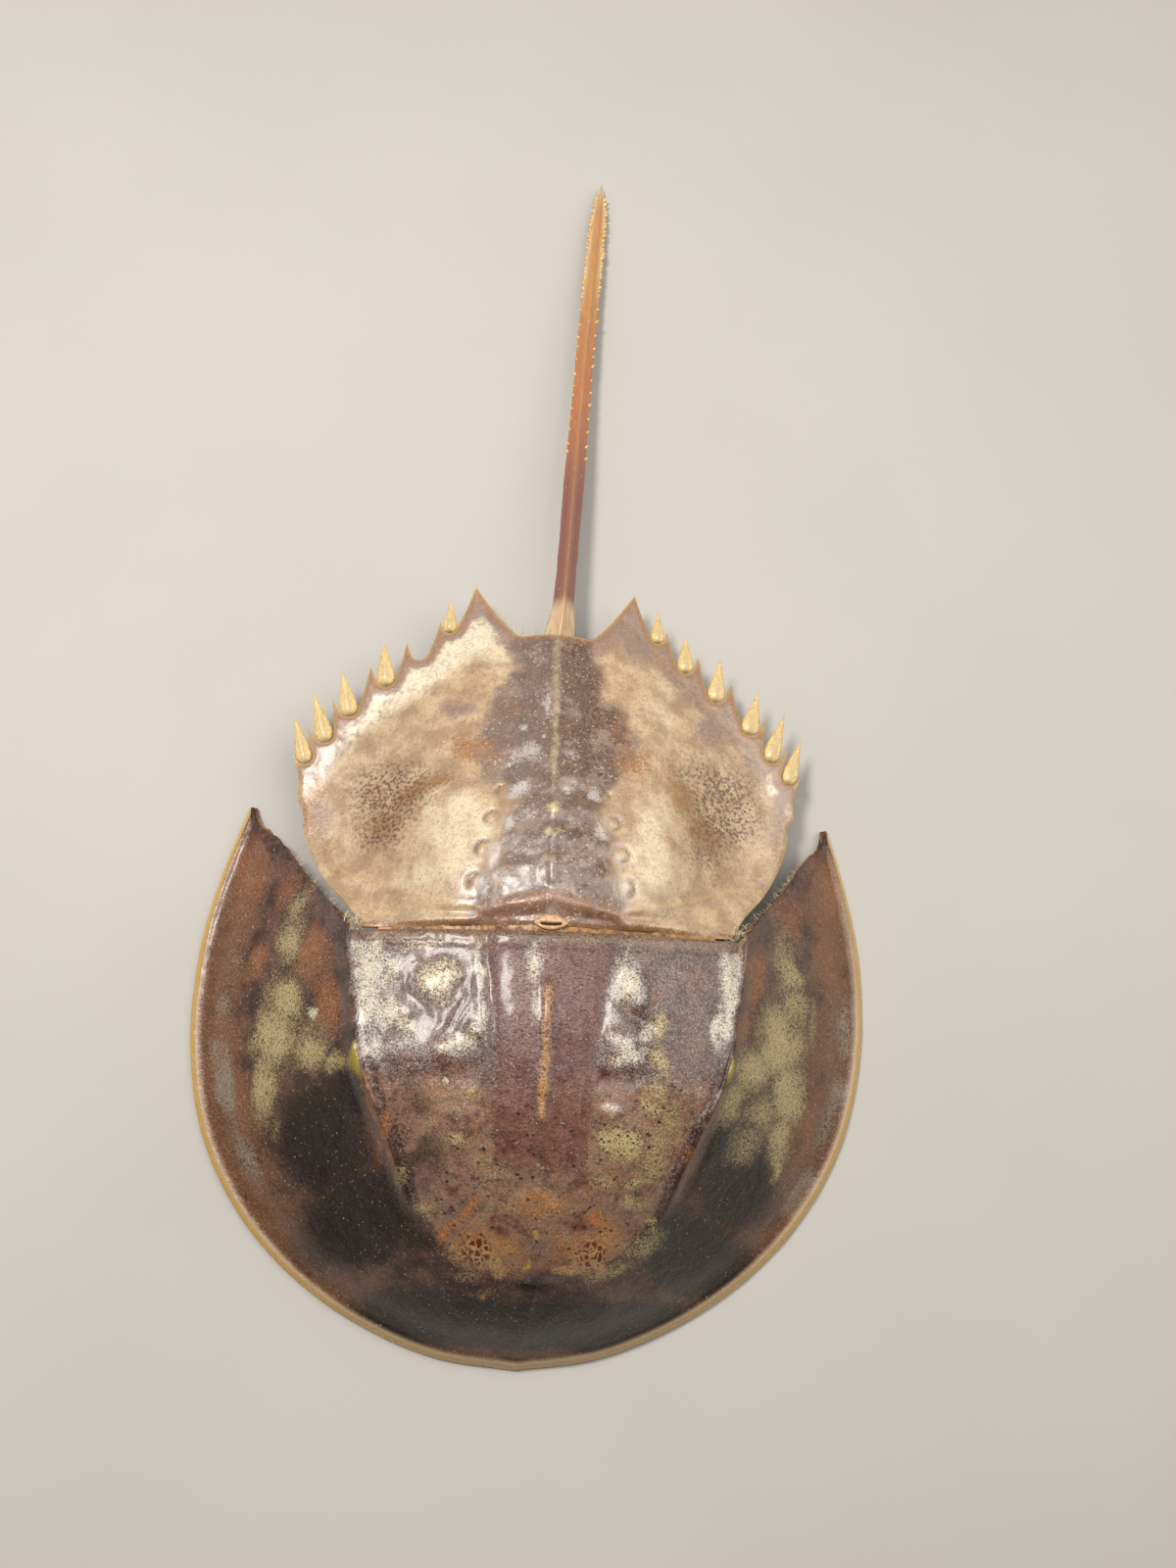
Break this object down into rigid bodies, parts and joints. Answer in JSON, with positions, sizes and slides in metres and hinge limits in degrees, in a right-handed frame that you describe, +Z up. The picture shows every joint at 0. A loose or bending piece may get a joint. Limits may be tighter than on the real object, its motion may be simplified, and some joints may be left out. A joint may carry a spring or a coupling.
{
  "type": "horseshoe crab shell",
  "caption": "Dried horseshoe crab shell with head shield, spiny abdomen and long tail spine, resting on its turned-under rim.",
  "frame": {"origin": "under the middle of the whole shell's box, on the surface that it rests on", "axes": "+Y from head to tail, +X to the right as seen from above with the tail pointing away, +Z up"},
  "size_m": [0.1306, 0.2536, 0.0376],
  "materials": {
    "dark_shell": "dark purple-brown horn, lacquered gloss",
    "membrane": "dry amber skin, satin",
    "pale_shell": "beige and brown horn, semi-gloss",
    "tail_horn": "red-brown horn, semi-gloss",
    "spine_horn": "pale yellow horn, satin"
  },
  "bodies": {
    "root": {"head_shield": "dark_shell", "hinge_membrane": "membrane", "abdomen_shield": "pale_shell", "tail_spine": "tail_horn", "side_spine_right_6": "spine_horn", "side_spine_right_5": "spine_horn", "side_spine_right_4": "spine_horn", "side_spine_right_3": "spine_horn", "side_spine_right_2": "spine_horn", "side_spine_right_1": "spine_horn", "side_spine_left_6": "spine_horn", "side_spine_left_5": "spine_horn", "side_spine_left_4": "spine_horn", "side_spine_left_3": "spine_horn", "side_spine_left_1": "spine_horn"}
  },
  "joints": []
}
